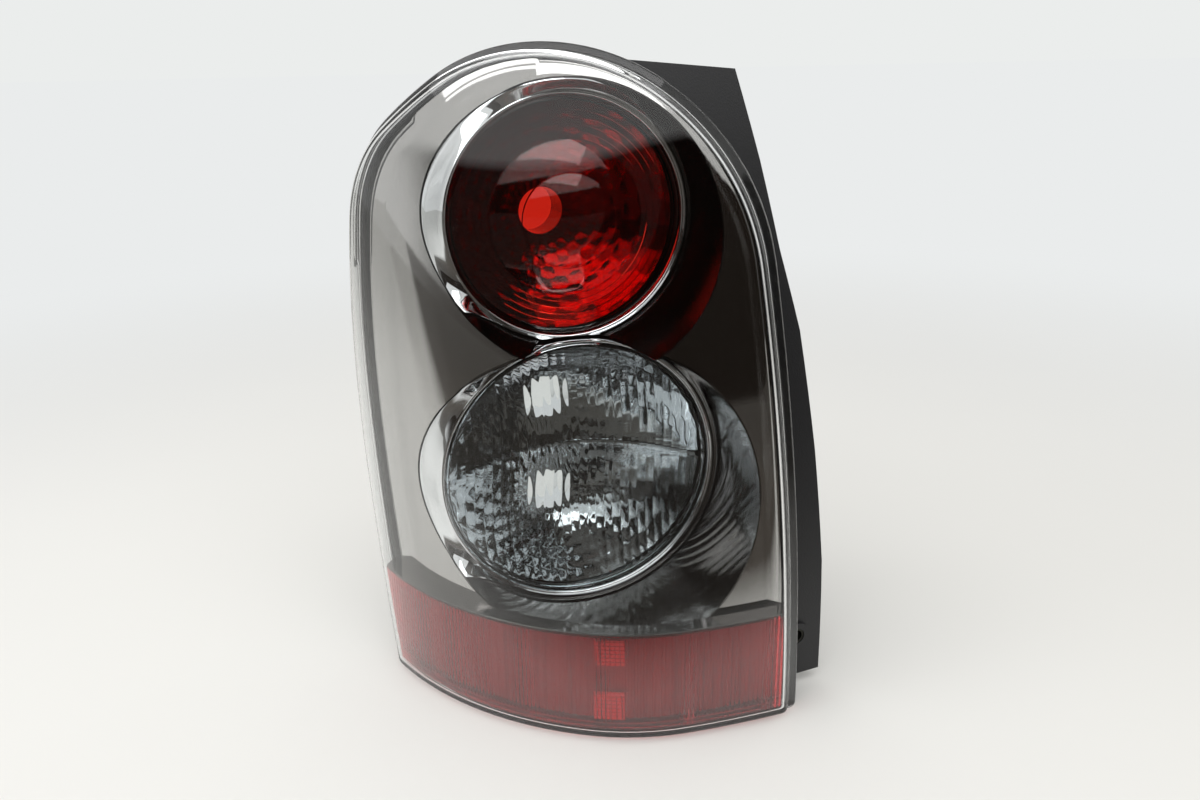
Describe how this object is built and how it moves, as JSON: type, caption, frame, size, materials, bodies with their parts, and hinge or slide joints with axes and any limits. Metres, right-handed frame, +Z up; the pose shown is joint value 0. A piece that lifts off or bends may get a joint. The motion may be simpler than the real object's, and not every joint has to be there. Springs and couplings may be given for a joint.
{
  "type": "vehicle rear lamp cluster",
  "caption": "Wrap-round rear lamp cluster: clear lens over a dark bezel with a red round lamp, a clear fluted round lamp and a red strip along the foot",
  "frame": {"origin": "on the foot plate under the housing, at the level of the lower edge of the lens", "axes": "+X inboard towards the middle of the car, +Y forwards into the body, +Z up"},
  "size_m": [0.2585, 0.2183, 0.4049],
  "materials": {
    "black_housing": "moulded, fine matt grain",
    "clear_lens": "clear acrylic, polished",
    "black_sealant": "black butyl, satin",
    "smoked_chrome": "dark vacuum-metallised plastic",
    "red_lens": "transparent red acrylic",
    "aluminised": "vacuum-aluminised plastic",
    "orange_reflex": "moulded prism grid",
    "bright_chrome": "bright chrome plating",
    "inner_clear": "clear acrylic with flutes",
    "zinc_steel": "bright zinc plating",
    "natural_nylon": "unfilled nylon",
    "black_rubber": "matt moulded rubber",
    "black_foam": "closed-cell foam"
  },
  "bodies": {
    "root": {"housing": "black_housing", "outer_lens": "clear_lens", "sealant_bead": "black_sealant", "bezel": "smoked_chrome", "red_strip_lens": "red_lens", "strip_backing": "aluminised", "reflex_inserts": "orange_reflex", "upper_ring": "bright_chrome", "lower_ring": "bright_chrome", "upper_inner_lens": "red_lens", "lower_inner_lens": "inner_clear", "upper_reflector": "aluminised", "turn_reflector": "aluminised", "reverse_reflector": "aluminised", "wing_bush": "zinc_steel", "mounting_studs": "zinc_steel", "locating_pin": "natural_nylon", "pin_sleeve": "black_rubber", "vent_caps": "black_rubber", "body_gaskets": "black_foam", "reflector_screws": "zinc_steel"}
  },
  "joints": []
}
